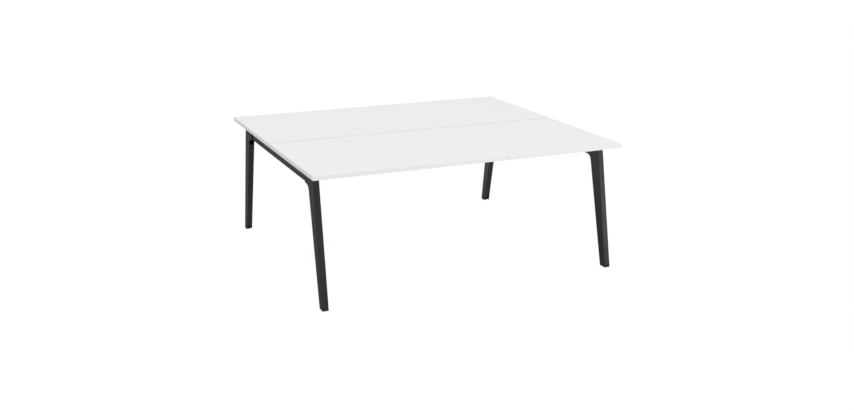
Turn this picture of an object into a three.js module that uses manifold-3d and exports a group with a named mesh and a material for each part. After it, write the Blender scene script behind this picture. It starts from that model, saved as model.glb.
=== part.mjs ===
// Benching desk for two: white worktops back to back on two splayed steel end frames.
// Millimetres, +Z up. The origin is on the floor under the middle of the desk,
// X runs along the desk and the front user sits at -Y.

import * as THREE from 'three';
import { mergeVertices } from 'three/addons/utils/BufferGeometryUtils.js';
import Module from 'manifold-3d';

const wasm = await Module();
wasm.setup();

// Driving dimensions: the desk as a whole
const deskLength = 1800;
const deskHeight = 720;
const worktopDepth = 800;
const worktopGap = 8;
const worktopThickness = 22;

// Driving dimensions: edging strip
const edgingThickness = 2;
const edgingRadius = 1.2;

// Driving dimensions: end frames, with the rail set back from both sides of the legs
const frameInset = 40;
const frameThickness = 34;
const frameEdgeRadius = 3;
const frameWall = 2;
const railHeight = 75;
const railThickness = 20;

// Driving dimensions: legs, measured from the long edge of the worktop
const legHeadInset = 134;
const legFootInset = 13;
const legHeadWidth = 94;
const legFootWidth = 53;
const legHeadEase = 1.5;
const legFootInnerEase = 5;
const legFootOuterEase = 2;
const legFloorGap = 1;
const shoulderReach = 265;
const shoulderStep = 0.5;
const shoulderSlope = 4;
const shoulderRadius = 36;
const driverPortWidth = 28;
const driverPortHeight = 38;
const driverPortBelowRail = 25;
const spannerNotchWidth = 26;
const spannerNotchHeight = 27;

// Driving dimensions: joint between rail and leg
const seamGap = 0.3;
const spigotLength = 120;
const spigotWall = 3;
const spigotEdgeRadius = 3;
const spigotBoltFromSeam = 30;

// Driving dimensions: beams and their end plates
const beamHeight = 60;
const beamWidth = 30;
const beamWall = 2;
const beamEdgeRadius = 3;
const beamFromLongEdge = 400;
const endPlateLength = 104;
const endPlateThickness = 4;
const endPlateBoltSpacing = 76;

// Driving dimensions: fasteners
const boltRadius = 4;
const beamBoltLength = 18;
const spigotBoltLength = 12;
const hexHeadAcrossFlats = 13;
const hexHeadHeight = 5.3;
const buttonHeadRadius = 7;
const buttonHeadHeight = 4.4;
const buttonCrownRadius = 3.5;
const buttonShoulderRadius = 6.3;
const woodScrewRadius = 2.5;
const woodScrewPointHeight = 4;
const woodScrewBite = 19;
const woodScrewHeadRadius = 5;
const woodScrewHeadHeight = 3;
const driverHoleRadius = 6.5;
const headScrewBeyondSpigot = 24;
const railScrewFromMiddle = 90;

// Driving dimensions: levelling feet
const padHeight = 5;
const padWallGap = 2;
const padChamfer = 1;
const padSocketRadius = 4.5;
const padSocketDepth = 3;
const stemRadius = 5;
const stemLength = 36;
const stemHexAcrossFlats = 17;
const stemHexHeight = 7;
const insertHeight = 24;

// Fits: a hole is wider than what passes through it, and a filler smaller than its hollow
const fitGap = 0.3;
const boreGap = 0.5;

// Facets on round pieces, and how far a cutting shape runs past what it cuts
const arcSteps = 2;
const roundSides = 12;
const padSides = 20;
const bevelSteps = 2;
const overrun = 20;

// Levels and places that follow from the driving dimensions
const underside = deskHeight - worktopThickness;
const railBottom = underside - railHeight;
const halfLength = deskLength / 2;
const halfDepth = worktopDepth + worktopGap / 2;
const frameCentre = halfLength - frameInset - frameThickness / 2;
const railInnerFace = frameCentre - railThickness / 2;
const railMiddle = underside - railHeight / 2;
const railBoreWidth = railThickness - 2 * frameWall;
const railBoreHeight = railHeight - 2 * frameWall;
const seamPlace = halfDepth - shoulderReach;
const headScrewPlace = seamPlace + spigotLength / 2 + headScrewBeyondSpigot;
const beamPlace = halfDepth - beamFromLongEdge;
const beamMiddle = underside - beamHeight / 2;
const endPlateFace = railInnerFace - endPlateThickness;
const spigotBoltPlace = seamPlace - spigotBoltFromSeam;
const legFootCentre = halfDepth - legFootInset - legFootWidth / 2;
const legHeadRadius = frameEdgeRadius + legHeadEase;
const legFootInnerRadius = frameEdgeRadius + legFootInnerEase;
const legFootOuterRadius = frameEdgeRadius + legFootOuterEase;
const padRadius = frameThickness / 2 - frameWall - padWallGap;

// Colours and finishes
const white = new THREE.MeshStandardMaterial({ color: 0xeeeeec, roughness: 0.55, metalness: 0 });
const edgingWhite = new THREE.MeshStandardMaterial({ color: 0xe9e9e6, roughness: 0.45, metalness: 0 });
const anthracite = new THREE.MeshStandardMaterial({ color: 0x40464a, roughness: 0.5, metalness: 0.1 });
const zincSteel = new THREE.MeshStandardMaterial({ color: 0xa9acad, roughness: 0.35, metalness: 1 });
const blackPlastic = new THREE.MeshStandardMaterial({ color: 0x1d1e1f, roughness: 0.6, metalness: 0 });

const desk = new THREE.Group();

// Axes for a drawn section: where its across, up and depth directions point in the desk
const facingX = new THREE.Matrix4().makeBasis(
  new THREE.Vector3(0, 1, 0), new THREE.Vector3(0, 0, 1), new THREE.Vector3(1, 0, 0));
const facingY = new THREE.Matrix4().makeBasis(
  new THREE.Vector3(1, 0, 0), new THREE.Vector3(0, 0, 1), new THREE.Vector3(0, -1, 0));

// Turns a closed geometry into a solid for cutting and joining
function solidOf(geometry) {
  const bare = geometry.clone();
  bare.deleteAttribute('normal');
  bare.deleteAttribute('uv');
  const merged = mergeVertices(bare);
  return new wasm.Manifold(new wasm.Mesh({
    numProp: 3,
    vertProperties: new Float32Array(merged.attributes.position.array),
    triVerts: new Uint32Array(merged.index.array),
  }));
}

// Turns a solid back into a geometry
function geometryOf(solid) {
  const mesh = solid.getMesh();
  const geometry = new THREE.BufferGeometry();
  geometry.setAttribute('position', new THREE.BufferAttribute(new Float32Array(mesh.vertProperties), 3));
  geometry.setIndex(new THREE.BufferAttribute(new Uint32Array(mesh.triVerts), 1));
  geometry.computeVertexNormals();
  return geometry;
}

// Cuts each of the tools out of a geometry
function cut(geometry, tools) {
  const solid = tools.reduce((left, tool) => left.subtract(solidOf(tool)), solidOf(geometry));
  return geometryOf(solid);
}

// Joins two overlapping geometries into one
function join(first, second) {
  return geometryOf(solidOf(first).add(solidOf(second)));
}

// Adds a named piece to a group
function addPiece(group, name, geometry, material) {
  const piece = new THREE.Mesh(geometry, material);
  piece.name = name;
  group.add(piece);
  return piece;
}

// A closed outline through corners that run anticlockwise, each with its own radius
function roundedOutline(corners) {
  const shape = new THREE.Shape();
  corners.forEach(({ at, radius }, index) => {
    const before = corners.at(index - 1).at.clone().sub(at).normalize();
    const after = corners[(index + 1) % corners.length].at.clone().sub(at).normalize();
    const moveOrLine = index === 0 ? 'moveTo' : 'lineTo';
    if (radius === 0) {
      shape[moveOrLine](at.x, at.y);
      return;
    }
    const halfAngle = Math.acos(THREE.MathUtils.clamp(before.dot(after), -1, 1)) / 2;
    const tangent = radius / Math.tan(halfAngle);
    const start = at.clone().addScaledVector(before, tangent);
    const end = at.clone().addScaledVector(after, tangent);
    const middle = before.clone().add(after).normalize();
    const centre = at.clone().addScaledVector(middle, radius / Math.sin(halfAngle));
    const hollow = before.cross(after) > 0;
    shape[moveOrLine](start.x, start.y);
    shape.absarc(centre.x, centre.y, radius, start.clone().sub(centre).angle(),
      end.clone().sub(centre).angle(), hollow);
  });
  shape.closePath();
  return shape;
}

// A rectangle about the origin with rounded corners
function roundedRectangle(width, height, radius) {
  const corners = [[-1, -1], [1, -1], [1, 1], [-1, 1]];
  return roundedOutline(corners.map(([across, up]) => ({
    at: new THREE.Vector2(across * width / 2, up * height / 2),
    radius,
  })));
}

// Extrudes an outline evenly to both sides of its own plane, then turns it to face an axis
function extrude(shape, depth, facing) {
  const geometry = new THREE.ExtrudeGeometry(shape, { depth, bevelEnabled: false, curveSegments: arcSteps });
  return geometry.translate(0, 0, -depth / 2).applyMatrix4(facing);
}

// A rectangular tube along an axis
function tube(width, height, wall, radius, length, facing) {
  const outside = extrude(roundedRectangle(width, height, radius), length, facing);
  const bore = roundedRectangle(width - 2 * wall, height - 2 * wall, Math.max(radius - wall, 0));
  return cut(outside, [extrude(bore, length + 2 * overrun, facing)]);
}

// A round bar standing on a level, and the same lying along X
function uprightBar(radius, bottom, top, sides = roundSides) {
  const bar = new THREE.CylinderGeometry(radius, radius, top - bottom, sides);
  return bar.rotateX(Math.PI / 2).translate(0, 0, (top + bottom) / 2);
}

function barAlongX(radius, length, sides = roundSides) {
  return new THREE.CylinderGeometry(radius, radius, length, sides).rotateZ(Math.PI / 2);
}

// A turned piece: a profile of radius and height pairs that starts and ends on the upright axis
function turned(profile, sides) {
  const points = profile.map(([radius, height]) => new THREE.Vector2(radius, height));
  return geometryOf(solidOf(new THREE.LatheGeometry(points, sides).rotateX(Math.PI / 2)));
}

// The corner radius of a hexagon from its width across flats
const hexCornerRadius = (acrossFlats) => acrossFlats / Math.sqrt(3);

// Worktops: a faced board with a blind hole over each fixing screw
const boardLength = deskLength - 2 * edgingThickness;
const boardDepth = worktopDepth - 2 * edgingThickness;
const worktopMiddle = deskHeight - worktopThickness / 2;
const worktopPlace = (worktopGap + worktopDepth) / 2;
const screwHoleRadius = woodScrewRadius + fitGap;

for (const [row, rowSide] of [['front', -1], ['rear', 1]]) {
  const board = new THREE.BoxGeometry(boardLength, boardDepth, worktopThickness);
  board.translate(0, rowSide * worktopPlace, worktopMiddle);
  const holes = [-1, 1].flatMap((end) => [railScrewFromMiddle, headScrewPlace].map((place) => {
    const hole = uprightBar(screwHoleRadius, underside - overrun, underside + woodScrewBite + fitGap);
    return hole.translate(end * frameCentre, rowSide * place, 0);
  }));
  addPiece(desk, `${row}_worktop`, cut(board, holes), white);
}

// Edging: a thin strip with its two outer corners eased, drawn with its outside to the right
function edgingStrip(length, facing) {
  const halfThickness = edgingThickness / 2;
  const halfHeight = worktopThickness / 2;
  const outline = roundedOutline([
    { at: new THREE.Vector2(-halfThickness, -halfHeight), radius: 0 },
    { at: new THREE.Vector2(halfThickness, -halfHeight), radius: edgingRadius },
    { at: new THREE.Vector2(halfThickness, halfHeight), radius: edgingRadius },
    { at: new THREE.Vector2(-halfThickness, halfHeight), radius: 0 },
  ]);
  return extrude(outline, length, facing);
}

for (const [row, rowSide] of [['front', -1], ['rear', 1]]) {
  for (const [edge, edgeSide] of [['front', -1], ['rear', 1]]) {
    const strip = edgingStrip(boardLength, facingX).rotateZ(edgeSide > 0 ? 0 : Math.PI);
    strip.translate(0, rowSide * worktopPlace + edgeSide * (boardDepth + edgingThickness) / 2, worktopMiddle);
    addPiece(desk, `${row}_worktop_${edge}_edging`, strip, edgingWhite);
  }
  for (const [edge, edgeSide] of [['left', -1], ['right', 1]]) {
    const strip = edgingStrip(worktopDepth, facingY).rotateZ(edgeSide > 0 ? 0 : Math.PI);
    strip.translate(edgeSide * (boardLength + edgingThickness) / 2, rowSide * worktopPlace, worktopMiddle);
    addPiece(desk, `${row}_worktop_${edge}_edging`, strip, edgingWhite);
  }
}

// Legs: the side outline is a loop of straight edges, drawn with the outside of the desk to the right.
// Each edge can be moved inwards, so that the hollow follows the outside one wall thickness in.
function edgeThrough(from, to, inwards) {
  const along = to.clone().sub(from).normalize();
  const inwardNormal = new THREE.Vector2(-along.y, along.x);
  return { from: from.clone().addScaledVector(inwardNormal, inwards), along };
}

function crossing(first, second) {
  const between = second.from.clone().sub(first.from);
  const distance = between.cross(second.along) / first.along.cross(second.along);
  return first.from.clone().addScaledVector(first.along, distance);
}

const legHeadOuter = new THREE.Vector2(halfDepth - legHeadInset, underside);
const legHeadInner = new THREE.Vector2(legHeadOuter.x - legHeadWidth, underside);
const legFootOuter = new THREE.Vector2(halfDepth - legFootInset, 0);
const legFootInner = new THREE.Vector2(legFootOuter.x - legFootWidth, 0);
const slopeDrop = Math.tan(THREE.MathUtils.degToRad(shoulderSlope));
const shoulderStart = new THREE.Vector2(seamPlace, railBottom - shoulderStep);
const shoulderRun = legHeadInner.x - seamPlace;
const shoulderEnd = new THREE.Vector2(legHeadInner.x, shoulderStart.y - slopeDrop * shoulderRun);

function legOutline(inwards, seamEdge, footLevel, footInnerRadius, footOuterRadius) {
  const level = (height) => [new THREE.Vector2(0, height), new THREE.Vector2(1, height)];
  const shoulder = edgeThrough(shoulderStart, shoulderEnd, inwards);
  const inner = edgeThrough(legHeadInner, legFootInner, inwards);
  const foot = edgeThrough(...level(footLevel), 0);
  const outer = edgeThrough(legFootOuter, legHeadOuter, inwards);
  const head = edgeThrough(...level(underside - inwards), 0);
  const seam = edgeThrough(new THREE.Vector2(seamEdge, 1), new THREE.Vector2(seamEdge, 0), 0);
  return roundedOutline([
    { at: crossing(shoulder, inner), radius: shoulderRadius + inwards },
    { at: crossing(inner, foot), radius: footInnerRadius },
    { at: crossing(foot, outer), radius: footOuterRadius },
    { at: crossing(outer, head), radius: legHeadRadius },
    { at: crossing(head, seam), radius: 0 },
    { at: crossing(seam, shoulder), radius: 0 },
  ]);
}

// The slotted port under the rail, where a driver reaches the screw in the leg's head
function driverPort() {
  const outline = roundedRectangle(driverPortWidth, driverPortHeight, driverPortWidth / 2 - fitGap);
  const portLevel = railBottom - driverPortBelowRail;
  const wallPlace = THREE.MathUtils.mapLinear(portLevel, 0, underside, legFootInner.x, legHeadInner.x);
  return extrude(outline, 2 * overrun, facingY).translate(0, wallPlace, portLevel);
}

// The arched notch at the floor, where a spanner reaches the levelling stem
function spannerNotch() {
  const halfWidth = spannerNotchWidth / 2;
  const top = legFloorGap + spannerNotchHeight;
  const outline = new THREE.Shape();
  outline.moveTo(-halfWidth, -overrun);
  outline.lineTo(halfWidth, -overrun);
  outline.lineTo(halfWidth, top - halfWidth);
  outline.absarc(0, top - halfWidth, halfWidth, 0, Math.PI, false);
  outline.closePath();
  return extrude(outline, overrun, facingY).translate(0, legFootInner.x, 0);
}

// The window in the closed end of the shoulder, which the spigot passes through
function spigotWindow() {
  const window = new THREE.BoxGeometry(railBoreWidth, 2 * overrun, railBoreHeight);
  return window.translate(0, seamPlace, railMiddle);
}

function legGeometry() {
  const legEnd = seamPlace + seamGap / 2;
  const outline = legOutline(0, legEnd - overrun, legFloorGap, legFootInnerRadius, legFootOuterRadius);
  const outside = new THREE.ExtrudeGeometry(outline, {
    depth: frameThickness - 2 * frameEdgeRadius,
    bevelEnabled: true,
    bevelThickness: frameEdgeRadius,
    bevelSize: frameEdgeRadius,
    bevelOffset: -frameEdgeRadius,
    bevelSegments: bevelSteps,
    curveSegments: arcSteps,
  });
  outside.translate(0, 0, frameEdgeRadius - frameThickness / 2).applyMatrix4(facingX);
  const inside = legOutline(frameWall, legEnd + frameWall, -overrun, 0, 0);
  const hollow = extrude(inside, frameThickness - 2 * frameWall, facingX);
  const beyondSeam = new THREE.BoxGeometry(2 * frameThickness, 4 * overrun, 4 * railHeight);
  beyondSeam.translate(0, legEnd - 2 * overrun, underside);
  const screwHole = uprightBar(screwHoleRadius, underside - overrun, underside + overrun);
  screwHole.translate(0, headScrewPlace, 0);
  return cut(outside, [hollow, beyondSeam, spigotWindow(), screwHole, driverPort(), spannerNotch()]);
}

// Spigot: a short length of tube that runs from the leg through its window and fills the rail's bore
const spigotWidth = railBoreWidth - 2 * fitGap;
const spigotHeight = railBoreHeight - 2 * fitGap;
const boltHoleRadius = boltRadius + fitGap;

function spigotGeometry(boltSide) {
  const body = tube(spigotWidth, spigotHeight, spigotWall, spigotEdgeRadius, spigotLength, facingY);
  const boltHole = barAlongX(boltHoleRadius, spigotWidth / 2);
  boltHole.translate(boltSide * spigotWidth / 2, -spigotBoltFromSeam, 0);
  return cut(body, [boltHole]).translate(0, seamPlace, railMiddle);
}

// Foot insert: a plastic block that fills the leg's hollow above the levelling stem's hexagon
const stemHexBottom = padHeight + fitGap;
const stemHexTop = stemHexBottom + stemHexHeight;
const insertBottom = stemHexTop + fitGap;
const insertTop = insertBottom + insertHeight;

function insertGeometry() {
  const inwards = frameWall + fitGap;
  const inner = edgeThrough(legHeadInner, legFootInner, inwards);
  const outer = edgeThrough(legFootOuter, legHeadOuter, inwards);
  const bottom = edgeThrough(new THREE.Vector2(0, insertBottom), new THREE.Vector2(1, insertBottom), 0);
  const top = edgeThrough(new THREE.Vector2(0, insertTop), new THREE.Vector2(1, insertTop), 0);
  const corners = [[inner, bottom], [bottom, outer], [outer, top], [top, inner]];
  const outline = roundedOutline(corners.map(([one, other]) => ({ at: crossing(one, other), radius: 0 })));
  const block = extrude(outline, frameThickness - 2 * inwards, facingX);
  const bore = uprightBar(stemRadius + boreGap, insertBottom - overrun, insertTop + overrun);
  return cut(block, [bore.translate(0, legFootCentre, 0)]);
}

// Levelling stem: a threaded bar with a hexagon near its foot, which turns in the pad's socket
function stemGeometry() {
  const socketBottom = padHeight - padSocketDepth + fitGap;
  const hexagon = uprightBar(hexCornerRadius(stemHexAcrossFlats), stemHexBottom, stemHexTop, 6);
  const neck = uprightBar(padSocketRadius - boreGap, socketBottom, stemHexTop);
  const bar = uprightBar(stemRadius, stemHexBottom + stemHexHeight / 2, stemHexTop + stemLength);
  return join(join(hexagon, neck), bar).translate(0, legFootCentre, 0);
}

// Floor pad: a moulded disc with a socket for the stem
function padGeometry() {
  const profile = [
    [0, 0],
    [padRadius - padChamfer, 0],
    [padRadius, padChamfer],
    [padRadius, padHeight - padChamfer],
    [padRadius - padChamfer, padHeight],
    [padSocketRadius, padHeight],
    [padSocketRadius, padHeight - padSocketDepth],
    [0, padHeight - padSocketDepth],
  ];
  return turned(profile, padSides).translate(0, legFootCentre, 0);
}

// Wood screw: the head bears on the inside of the frame's top wall and the point ends in the board
function woodScrewGeometry() {
  const seat = underside - frameWall;
  const tip = underside + woodScrewBite;
  return turned([
    [0, seat - woodScrewHeadHeight],
    [woodScrewHeadRadius / 2, seat - woodScrewHeadHeight],
    [woodScrewHeadRadius, seat - woodScrewHeadHeight / 2],
    [woodScrewHeadRadius, seat - fitGap],
    [woodScrewRadius, seat - fitGap],
    [woodScrewRadius, tip - woodScrewPointHeight],
    [0, tip],
  ], roundSides);
}

// Each corner of the desk: leg, spigot, head screw and levelling foot.
// They are drawn for the rear and turned half round for the front.
for (const [row, turn] of [['front', Math.PI], ['rear', 0]]) {
  for (const [end, endSide] of [['left', -1], ['right', 1]]) {
    const corner = new THREE.Group();
    corner.position.x = endSide * frameCentre;
    corner.rotation.z = turn;
    const towardsMiddle = row === 'rear' ? -endSide : endSide;
    addPiece(corner, `${row}_${end}_leg`, legGeometry(), anthracite);
    addPiece(corner, `${row}_${end}_rail_spigot`, spigotGeometry(towardsMiddle), zincSteel);
    addPiece(corner, `${row}_${end}_foot_insert`, insertGeometry(), blackPlastic);
    addPiece(corner, `${row}_${end}_levelling_stem`, stemGeometry(), zincSteel);
    addPiece(corner, `${row}_${end}_floor_pad`, padGeometry(), blackPlastic);
    const headScrew = addPiece(corner, `${row}_${end}_leg_head_screw`, woodScrewGeometry(), zincSteel);
    headScrew.position.y = headScrewPlace;
    desk.add(corner);
  }
}

// End rails: tube between the shoulders, with holes for the beam bolts, spigot bolts and worktop screws
const railLength = 2 * seamPlace - seamGap;

function railGeometry(innerSide) {
  const body = tube(railThickness, railHeight, frameWall, frameEdgeRadius, railLength, facingY);
  body.translate(0, 0, railMiddle);
  const tools = [];
  for (const rowSide of [-1, 1]) {
    const boltPlaces = [-1, 1].map((side) => ({
      place: rowSide * beamPlace + side * endPlateBoltSpacing / 2,
      level: beamMiddle,
    }));
    boltPlaces.push({ place: rowSide * spigotBoltPlace, level: railMiddle });
    for (const { place, level } of boltPlaces) {
      const boltHole = barAlongX(boltHoleRadius, railThickness / 2);
      tools.push(boltHole.translate(innerSide * railThickness / 2, place, level));
    }
    const screwHole = uprightBar(screwHoleRadius, underside - overrun, underside + overrun);
    tools.push(screwHole.translate(0, rowSide * railScrewFromMiddle, 0));
    const driverHole = uprightBar(driverHoleRadius, railBottom - overrun, railBottom + overrun);
    tools.push(driverHole.translate(0, rowSide * railScrewFromMiddle, 0));
  }
  return cut(body, tools);
}

for (const [end, endSide] of [['left', -1], ['right', 1]]) {
  const rail = addPiece(desk, `${end}_end_rail`, railGeometry(-endSide), anthracite);
  rail.position.x = endSide * frameCentre;
  for (const [row, rowSide] of [['front', -1], ['rear', 1]]) {
    const screw = addPiece(desk, `${row}_${end}_rail_screw`, woodScrewGeometry(), zincSteel);
    screw.position.set(endSide * frameCentre, rowSide * railScrewFromMiddle, 0);
  }
}

// Beams: one tube under the middle of each worktop, from end plate to end plate
for (const [row, rowSide] of [['front', -1], ['rear', 1]]) {
  const beam = tube(beamWidth, beamHeight, beamWall, beamEdgeRadius, 2 * endPlateFace, facingX);
  addPiece(desk, `${row}_beam`, beam, anthracite).position.set(0, rowSide * beamPlace, beamMiddle);
}

// End plates: a flat plate on each end of a beam, bolted to the inner face of the rail
function endPlateGeometry() {
  const body = new THREE.BoxGeometry(endPlateThickness, endPlateLength, beamHeight);
  const holes = [-1, 1].map((side) =>
    barAlongX(boltHoleRadius, 2 * endPlateThickness).translate(0, side * endPlateBoltSpacing / 2, 0));
  return cut(body, holes);
}

// Bolts drawn with the head's bearing face at the origin and the shank running along +X
function shank(length) {
  const inHead = Math.min(hexHeadHeight, buttonHeadHeight) / 2;
  return barAlongX(boltRadius, length + inHead).translate((length - inHead) / 2, 0, 0);
}

function hexBoltGeometry() {
  const head = barAlongX(hexCornerRadius(hexHeadAcrossFlats), hexHeadHeight, 6);
  return join(head.translate(-hexHeadHeight / 2, 0, 0), shank(beamBoltLength));
}

function buttonBoltGeometry() {
  const head = turned([
    [0, 0],
    [buttonHeadRadius, 0],
    [buttonShoulderRadius, buttonHeadHeight / 2],
    [buttonCrownRadius, buttonHeadHeight],
    [0, buttonHeadHeight],
  ], roundSides);
  return join(head.rotateY(-Math.PI / 2), shank(spigotBoltLength));
}

for (const [end, endSide] of [['left', -1], ['right', 1]]) {
  const outwards = endSide > 0 ? 0 : Math.PI;
  for (const [row, rowSide] of [['front', -1], ['rear', 1]]) {
    const plate = addPiece(desk, `${row}_beam_${end}_end_plate`, endPlateGeometry(), anthracite);
    plate.position.set(endSide * (endPlateFace + endPlateThickness / 2), rowSide * beamPlace, beamMiddle);
    for (const [edge, edgeSide] of [['front', -1], ['rear', 1]]) {
      const bolt = addPiece(desk, `${row}_beam_${end}_${edge}_bolt`, hexBoltGeometry(), zincSteel);
      bolt.rotation.z = outwards;
      const place = rowSide * beamPlace + edgeSide * endPlateBoltSpacing / 2;
      bolt.position.set(endSide * (endPlateFace - fitGap), place, beamMiddle);
    }
    const lockBolt = addPiece(desk, `${row}_${end}_spigot_bolt`, buttonBoltGeometry(), zincSteel);
    lockBolt.rotation.z = outwards;
    lockBolt.position.set(endSide * (railInnerFace - fitGap), rowSide * spigotBoltPlace, railMiddle);
  }
}

export default desk;
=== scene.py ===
import math

import bmesh
import bpy
from mathutils import Matrix, Vector


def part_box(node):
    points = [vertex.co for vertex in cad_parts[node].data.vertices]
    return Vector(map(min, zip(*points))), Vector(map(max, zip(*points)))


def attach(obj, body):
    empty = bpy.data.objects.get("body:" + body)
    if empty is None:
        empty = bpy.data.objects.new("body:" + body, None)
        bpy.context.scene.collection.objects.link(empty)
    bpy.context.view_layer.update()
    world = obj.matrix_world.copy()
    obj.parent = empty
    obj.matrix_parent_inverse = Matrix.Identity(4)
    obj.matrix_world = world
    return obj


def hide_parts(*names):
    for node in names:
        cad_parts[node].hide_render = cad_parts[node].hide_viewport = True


# Benching desk for two: white worktops back to back on two splayed steel end frames.
# Metres, +Z up. X runs along the desk and the front user sits at -Y.

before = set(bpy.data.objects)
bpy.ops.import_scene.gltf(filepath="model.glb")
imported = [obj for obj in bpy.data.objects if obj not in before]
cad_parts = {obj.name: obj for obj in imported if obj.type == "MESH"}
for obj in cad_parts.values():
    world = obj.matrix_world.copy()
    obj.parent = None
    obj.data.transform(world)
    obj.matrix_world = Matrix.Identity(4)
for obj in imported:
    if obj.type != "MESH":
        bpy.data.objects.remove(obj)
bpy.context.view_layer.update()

# Studio: a glowing white floor, clear from below so that the underside can be looked at, a white room and a
# soft lamp, seen from the photographer's place. The satin steel mirrors a dimmed room and a floor with a
# painted shadow under the desk and two painted pools of light on it.
pure_white = (1.0, 1.0, 1.0, 1.0)
square_corners = ((-1, -1), (1, -1), (1, 1), (-1, 1))
floor_side = 120.0
floor_grey = (0.03, 0.03, 0.03, 1.0)
floor_glow = 0.98
floor_mirrored = 0.32
# Painted shadow: the floor as the steel mirrors it goes dark under the desk, out to the open floor.
floor_painted_shadow_mirrored = 0.0
painted_shadow_reach = 0.75
open_floor_reach = 1.3
# Painted pools of light on the floor as the steel mirrors it, one to the front right and one behind.
front_pool_place = (2.1, -2.5, 0.0)
front_pool_mirrored = 5.2
front_pool_reach = 2.1
rear_pool_place = (0.3, 2.4, 0.0)
rear_pool_mirrored = 0.55
rear_pool_reach = 1.6
room_light = 0.83
room_light_slope = (0.55, 0.02, 0.56)
room_mirrored = 0.2
room_seen = 1.0
lamp_place = (2.5, -3.2, 0.8)
lamp_aim = (0.85, -0.7, 0.4)
lamp_width = 1.2
lamp_height = 1.4
lamp_power = 4.0
lamp_colour = (0.82, 1.0, 1.0)
camera_place = (-2.45632, -5.77003, 2.07148)
camera_turn = math.radians(23.61)
camera_dip = math.radians(12.96)
camera_sensor = 36.0
camera_lens = 45.769
camera_shift = -0.0703


def wire(tree, kind, inputs=None, **settings):
    """Adds a node to a tree, makes its choices, and fills or links its inputs by name or number."""
    node = tree.nodes.new(kind)
    for name, choice in settings.items():
        setattr(node, name, choice)
    for place, value in (inputs or {}).items():
        for one in value if isinstance(value, list) else [value]:
            if isinstance(one, bpy.types.NodeSocket):
                tree.links.new(one, node.inputs[place])
            else:
                node.inputs[place].default_value = one
    return node


def new_finish(name):
    """A material with an empty tree, and the place on the piece that its patterns read."""
    finish = bpy.data.materials.new(name)
    finish.use_nodes = True
    tree = finish.node_tree
    tree.nodes.clear()
    return finish, tree, wire(tree, "ShaderNodeTexCoord").outputs["Object"]


def noise(tree, place, scale, detail):
    """A cloudy pattern of one scale."""
    return wire(tree, "ShaderNodeTexNoise", {"Vector": place, "Scale": scale, "Detail": detail}).outputs[0]


def between(tree, share, low, high):
    """A number between two others, by a share from 0 to 1."""
    return wire(tree, "ShaderNodeMapRange", {"Value": share, "To Min": low, "To Max": high}).outputs[0]


def new_piece(name, data):
    """An object at the origin for a mesh, a light or a camera."""
    piece = bpy.data.objects.new(name, data)
    bpy.context.scene.collection.objects.link(piece)
    return piece


def floor_finish():
    """Glowing white floor with faint clouds in its dullness, solid from above and clear from below."""
    finish, tree, place = new_finish("glowing_floor")
    clouds = noise(tree, place, scale=0.7, detail=3.0)
    solid = wire(tree, "ShaderNodeBsdfPrincipled", {
        "Base Color": floor_grey,
        "Roughness": between(tree, clouds, low=0.75, high=0.95),
        "Specular IOR Level": 0.1,
        "Emission Color": pure_white,
        "Emission Strength": floor_glow,
    })
    # Glossy rays see a painted reflection of the floor: painted shadow under the desk, painted pools of
    # light.
    from_middle = wire(tree, "ShaderNodeVectorMath", {0: place}, operation="LENGTH")
    painted_shine = wire(tree, "ShaderNodeMapRange", {
        "Value": from_middle.outputs["Value"],
        "From Min": painted_shadow_reach,
        "From Max": open_floor_reach,
        "To Min": floor_painted_shadow_mirrored,
        "To Max": floor_mirrored,
    })
    # Each pool adds painted light to the mirrored floor, brightest at its place and gone at its reach.
    pools = (
        (front_pool_place, front_pool_reach, front_pool_mirrored),
        (rear_pool_place, rear_pool_reach, rear_pool_mirrored),
    )
    for pool_place, reach, brightest in pools:
        from_pool = wire(tree, "ShaderNodeVectorMath", {0: place, 1: pool_place}, operation="DISTANCE")
        pool = wire(tree, "ShaderNodeMapRange", {
            "Value": from_pool.outputs["Value"], "From Max": reach, "To Min": brightest, "To Max": 0.0})
        painted_shine = wire(tree, "ShaderNodeMath", {0: painted_shine.outputs[0], 1: pool.outputs[0]})
    mirrored = wire(tree, "ShaderNodeEmission", {"Strength": painted_shine.outputs[0]})
    in_gloss = wire(tree, "ShaderNodeLightPath").outputs["Is Glossy Ray"]
    above = wire(tree, "ShaderNodeMixShader", {0: in_gloss, 1: solid.outputs[0], 2: mirrored.outputs[0]})
    clear = wire(tree, "ShaderNodeBsdfTransparent")
    below = wire(tree, "ShaderNodeNewGeometry").outputs["Backfacing"]
    both = wire(tree, "ShaderNodeMixShader", {0: below, 1: above.outputs[0], 2: clear.outputs[0]})
    wire(tree, "ShaderNodeOutputMaterial", {"Surface": both.outputs[0]})
    return finish


floor_mesh = bpy.data.meshes.new("floor")
half_floor = floor_side / 2
floor_corners = [(x * half_floor, y * half_floor, 0.0) for x, y in square_corners]
floor_mesh.from_pydata(floor_corners, [], [(0, 1, 2, 3)])
floor_mesh.materials.append(floor_finish())
floor = new_piece("floor", floor_mesh)

room = bpy.data.worlds.new("white_room")
room.use_nodes = True
air = room.node_tree
air.nodes.clear()
rays = wire(air, "ShaderNodeLightPath").outputs
towards = wire(air, "ShaderNodeTexCoord").outputs["Generated"]
side = wire(air, "ShaderNodeVectorMath", {0: towards, 1: room_light_slope}, operation="DOT_PRODUCT")
shaded = wire(air, "ShaderNodeMath", {0: side.outputs["Value"], 1: room_light})
lit = wire(air, "ShaderNodeMix", {0: rays["Is Camera Ray"], 2: shaded.outputs[0], 3: room_seen})
seen = wire(air, "ShaderNodeMix", {0: rays["Is Glossy Ray"], 2: lit.outputs[0], 3: room_mirrored})
glow = wire(air, "ShaderNodeBackground", {"Color": pure_white, "Strength": seen.outputs[0]})
wire(air, "ShaderNodeOutputWorld", {"Surface": glow.outputs[0]})
bpy.context.scene.world = room

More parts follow.
